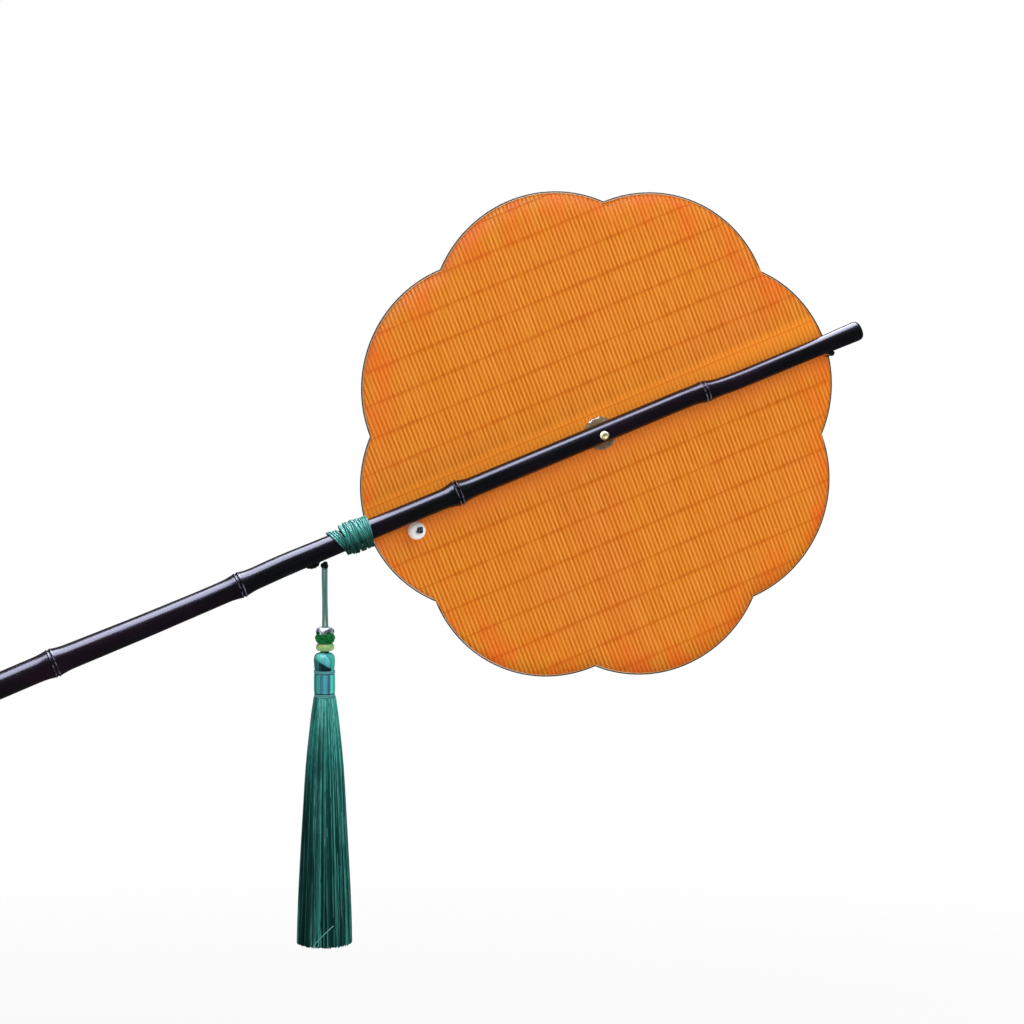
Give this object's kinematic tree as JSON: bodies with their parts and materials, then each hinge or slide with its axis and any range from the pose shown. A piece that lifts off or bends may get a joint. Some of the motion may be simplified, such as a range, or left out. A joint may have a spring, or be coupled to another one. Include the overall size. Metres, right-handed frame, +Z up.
{
  "type": "hand fan",
  "caption": "Long-handled flat hand fan with a lobed leaf of laced bamboo slats, cord lashing and a hanging silk tassel with glass beads.",
  "frame": {"origin": "on the handle's axis at the middle of the grip, where the hand holds it", "axes": "+X across the fan to the leaf's side, along which the handle rises; +Y through the leaf to its back; +Z up, the tassel hanging along -Z"},
  "size_m": [0.5074, 0.0269, 0.371],
  "materials": {
    "dark_bamboo": "smoked bamboo culm under gloss lacquer",
    "honey_bamboo": "split bamboo slats, satin varnish",
    "weft_thread": "fine lacing thread, varnished over",
    "edging": "hoop bound in dark thread",
    "brass": "pale brass, lightly worn",
    "steel": "plain steel washer",
    "clear_plastic": "clear soft plastic disc",
    "green_cord": "twisted polished cord",
    "dark_cord": "dark green knotted cord",
    "white_bead": "glossy white bead",
    "tassel_cord": "grey-green silk cord",
    "silk": "teal silk strands with a satin sheen",
    "silver": "pierced silver-coloured bead cap",
    "green_glass": "cut green glass",
    "pale_glass": "cut pale green and amber glass"
  },
  "bodies": {
    "fan": {"culm_handle": "dark_bamboo", "leaf_slats": "honey_bamboo", "weft_thread_01": "weft_thread", "weft_thread_02": "weft_thread", "weft_thread_03": "weft_thread", "weft_thread_04": "weft_thread", "weft_thread_05": "weft_thread", "weft_thread_06": "weft_thread", "weft_thread_07": "weft_thread", "weft_thread_08": "weft_thread", "weft_thread_09": "weft_thread", "weft_thread_10": "weft_thread", "weft_thread_11": "weft_thread", "weft_thread_12": "weft_thread", "weft_thread_13": "weft_thread", "weft_thread_14": "weft_thread", "weft_thread_15": "weft_thread", "weft_thread_16": "weft_thread", "rim_hoop": "edging", "centre_pin": "brass", "clear_washer": "clear_plastic", "back_washer": "steel", "pin_cap": "brass", "lashing_core": "dark_cord", "lower_lashing": "green_cord", "lashing_start_knot": "dark_cord", "lashing_end_knot": "dark_cord", "lower_tie": "dark_cord", "upper_tie": "dark_cord", "upper_tie_knot": "dark_cord", "bead_thread": "dark_cord", "hanger_cord": "dark_cord"},
    "white_bead": {"leaf_bead": "white_bead"},
    "hitch": {"hitch_knot": "dark_cord"},
    "tassel": {"strand_left": "tassel_cord", "strand_right": "tassel_cord", "stop_knot": "dark_cord", "tassel_head": "silk", "upper_binding": "tassel_cord", "tassel_collar": "silk", "lower_binding": "tassel_cord", "tassel_skirt": "silk"},
    "tassel_beads": {"bead_cap": "silver", "glass_bead": "green_glass", "small_bead": "pale_glass"}
  },
  "joints": [
    {"name": "leaf_bead_spin", "type": "hinge", "parent": "fan", "child": "white_bead", "pos_m": [0.22788, 0.00983, 0.07674], "axis": [0, 1, 0], "continuous": true},
    {"name": "side_swing", "type": "hinge", "parent": "fan", "child": "hitch", "pos_m": [0.18047, 0.00334, 0.0617], "axis": [0, 1, 0], "range_deg": [-45, 50]},
    {"name": "fore_aft_swing", "type": "hinge", "parent": "hitch", "child": "tassel", "pos_m": [0.18047, 0.00334, 0.0617], "axis": [1, 0, 0], "range_deg": [-45, 45]},
    {"name": "bead_spin", "type": "hinge", "parent": "tassel", "child": "tassel_beads", "pos_m": [0.18047, 0.00334, 0.0264], "axis": [0, 0, 1], "continuous": true}
  ]
}
